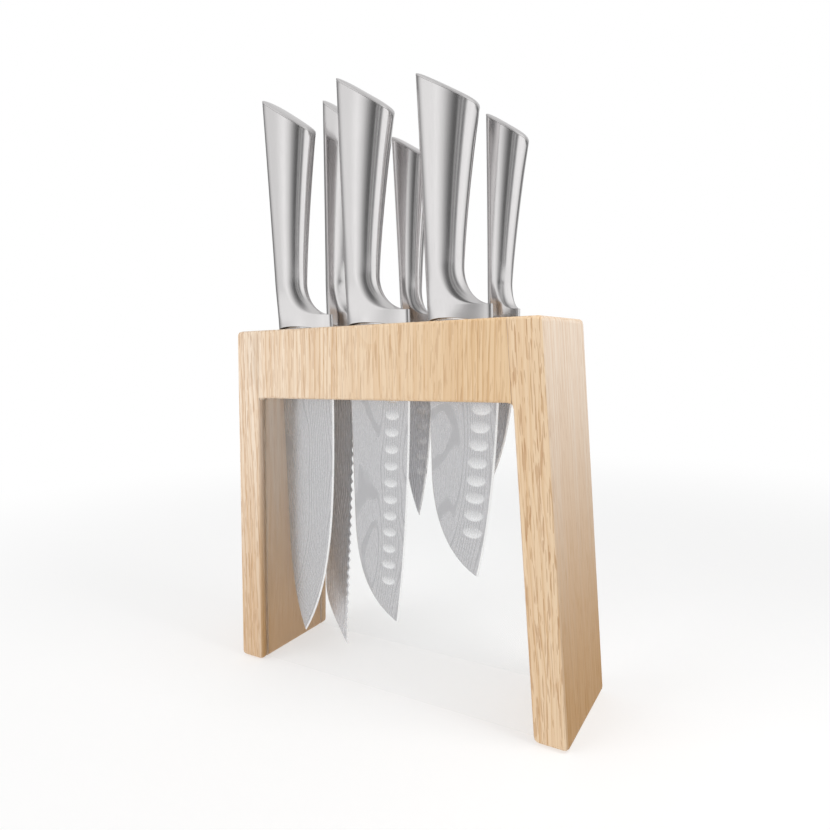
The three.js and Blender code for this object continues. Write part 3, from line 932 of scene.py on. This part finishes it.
def closeToMiddle(bm, loop):  # an end closed by strips that meet on its middle line
    made = bmesh.ops.extrude_edge_only(bm, edges=openEdges(loop))["geom"]
    inner = [vert for vert in made if isinstance(vert, bmesh.types.BMVert)]
    for vert in inner:
        vert.co.y = 0
    bmesh.ops.remove_doubles(bm, verts=inner + list(loop), dist=sameSpotMm)


def loft(stations, pointAt):  # a closed skin over one ring of points for each station
    around = handleSettings["around"]
    bm = bmesh.new()
    first = bmesh.ops.create_circle(bm, segments=around, radius=1)["verts"]
    ring = first
    for index, station in enumerate(stations):
        if index:
            ring = extrudeRing(bm, ring)
        for step, vert in enumerate(ring):
            vert.co = pointAt(station, 2 * math.pi * step / around)
    closeToMiddle(bm, first)
    closeToMiddle(bm, ring)
    bmesh.ops.recalc_face_normals(bm, faces=bm.faces)
    return bm


def handleShares(handle):  # heights along the belly, as shares of its length
    settings = handleSettings
    heelHeight, waistHeight = handle["heelHeight"], handle["waistHeight"]
    heights = [heelHeight * share for share in settings["footShares"]]
    for i in range(settings["curveSteps"] + 1):
        turn = i / settings["curveSteps"] * math.pi / 2
        heights.append(waistHeight - (waistHeight - heelHeight) * math.cos(turn) ** settings["curvePower"])
    for i in range(1, settings["upperSteps"] + 1):
        heights.append(mix(waistHeight, handle["bellyLength"], i / settings["upperSteps"]))
    return [z / handle["bellyLength"] for z in heights]


def makeHandle(name, knife, material):
    settings = handleSettings
    wall, arris, topArris = settings["wall"], settings["arris"], settings["topArris"]
    stations = [(0, arris, 0), (0, 0, arris)]  # share of the length, inset, lift
    stations += [(share, 0, 0) for share in handleShares(knife["handle"])]
    stations[-1] = (1, 0, -topArris)
    stations += [(1, topArris, 0), (1, wall, 0), (1, wall, -settings["rimDepth"])]

    def pointAt(station, angle):
        along, inset, lift = station
        at = handlePoint(knife, along, angle, inset, lift)
        at.z += archRise(knife, at.x, at.z, arch["handleFade"])
        return at

    finishKnifePiece(loft(stations, pointAt), name, knife, "handle", material, settings["smoothUnder"])


def makeCap(name, knife, material):
    cap, settings = capSettings, handleSettings
    gap, arris = cap["gap"], settings["topArris"]
    lip, wallTop = gap + settings["wall"], gap + cap["wall"]
    # inset and lift of each station
    stations = [(lip, -cap["plug"]), (lip, gap), (arris, gap), (0, gap + arris), (0, wallTop)]
    for i in range(1, cap["domeSteps"] + 1):
        turn = i / cap["domeSteps"] * cap["domeReach"] * math.pi / 2
        inset = knife["handle"]["buttThickness"] / 2 * (1 - math.cos(turn))
        stations.append((inset, wallTop + cap["dome"] * math.sin(turn)))

    def pointAt(station, angle):
        inset, lift = station
        return handlePoint(knife, 1, angle, inset, lift)

    finishKnifePiece(loft(stations, pointAt), name, knife, "butt_cap", material, settings["smoothUnder"])


# steel finishes

bladeLook = {
    "ground": (179, 178, 180),
    "layer": (194, 193, 195),
    "edge": (250, 250, 250),
    # painted highlight in each hollow
    "hollow": (240, 240, 241),
    "metallic": 0.8,
    "roughness": 0.3,
}
# painted light: the rear blades get a lighter steel, since they lie in the shade behind the front blades
rearBladeLitLook = {**bladeLook, "ground": (200, 200, 203), "layer": (216, 216, 219), "metallic": 0.7}
rearRow = ("bread", "utility", "paring")
layerSettings = {
    # noises: scale, detail, roughness, distortion
    "field": (24, 1, 0.3, 0.4),
    "ripple": (160, 1),
    "brush": (2400, 2),
    "layers": 9,
    "crowded": 11.0,  # more layers in the strip along the edge, and that strip's width in metres
    "strip": 0.022,
    "rim": (0.08, 0.17),
}
handleLook = {
    "colour": (230, 228, 228),
    "dark": (214, 212, 212),
    "roughness": 0.16,
    "brush": (2600, 3, 0.6),
    "cloud": (45, 3),
}
capRoughness = 0.34
figureShift = (0.37, 0.2, 0.11)  # from each blade's figure to the next one's


def makeBladeSteel(name, look, settings, shift):
    material, m = newMaterial(name)
    fromEdge, hollow = m.attribute("fromEdge"), m.attribute("hollow")
    field = m.noise(m.placed(shift, stretch=(1, 1, 2.2)), *settings["field"])
    ripple = m.noise(m.placed(shift, stretch=(1, 1, 3)), *settings["ripple"])
    packed = m.between(fromEdge, 0.0, settings["strip"], 0.0, settings["crowded"])
    layers = field * settings["layers"] + packed + ripple * 0.4
    mask = m.between(m.maths("PINGPONG", layers, 0.5), *settings["rim"])
    near = m.between(fromEdge, 0.012, 0.03, 1.0, 0.8)
    brush = m.noise(m.placed(shift, stretch=(1, 1, 30)), *settings["brush"])
    colour = m.blend(mask * near, tint(*look["ground"]), tint(*look["layer"]))
    # painted highlight, brightest at each hollow's foot
    colour = m.blend(hollow, colour, tint(*look["hollow"]))
    ground = m.between(fromEdge, 0.0009, 0.0014, 1.0, 0.0)
    colour = m.blend(ground * 0.9, colour, tint(*look["edge"]))
    rough = look["roughness"] - mask * 0.03 + (brush - 0.5) * 0.06
    bump = m.bump(brush + mask, 0.05, 0.00001)
    m.finish({"Base Color": colour, "Metallic": look["metallic"], "Roughness": rough, "Normal": bump})
    return material


def makeHandleSteel(name, look, stretch):
    material, m = newMaterial(name)
    brush = m.noise(m.placed(stretch=stretch), *look["brush"])
    cloud = m.noise(m.placed(), *look["cloud"])
    colour = m.blend(brush * 0.6 + cloud * 0.3, tint(*look["colour"]), tint(*look["dark"]))
    rough = look["roughness"] + (brush - 0.5) * 0.1 + (cloud - 0.5) * 0.04
    bump = m.bump(brush, 0.05, 0.00001)
    m.finish({"Base Color": colour, "Metallic": 1.0, "Roughness": rough, "Normal": bump})
    return material


handleSteel = makeHandleSteel("handle_steel", handleLook, (1, 1, 40))
capSteel = makeHandleSteel("cap_steel", {**handleLook, "roughness": capRoughness}, (1, 1, 1))
for index, (name, knife) in enumerate(knives.items()):
    shift = tuple(index * part for part in figureShift)
    look = rearBladeLitLook if name in rearRow else bladeLook
    makeBlade(name, knife, makeBladeSteel(name + "_blade_steel", look, layerSettings, shift))
    makeHandle(name, knife, handleSteel)
    makeCap(name, knife, capSteel)
    print(name, "knife made")
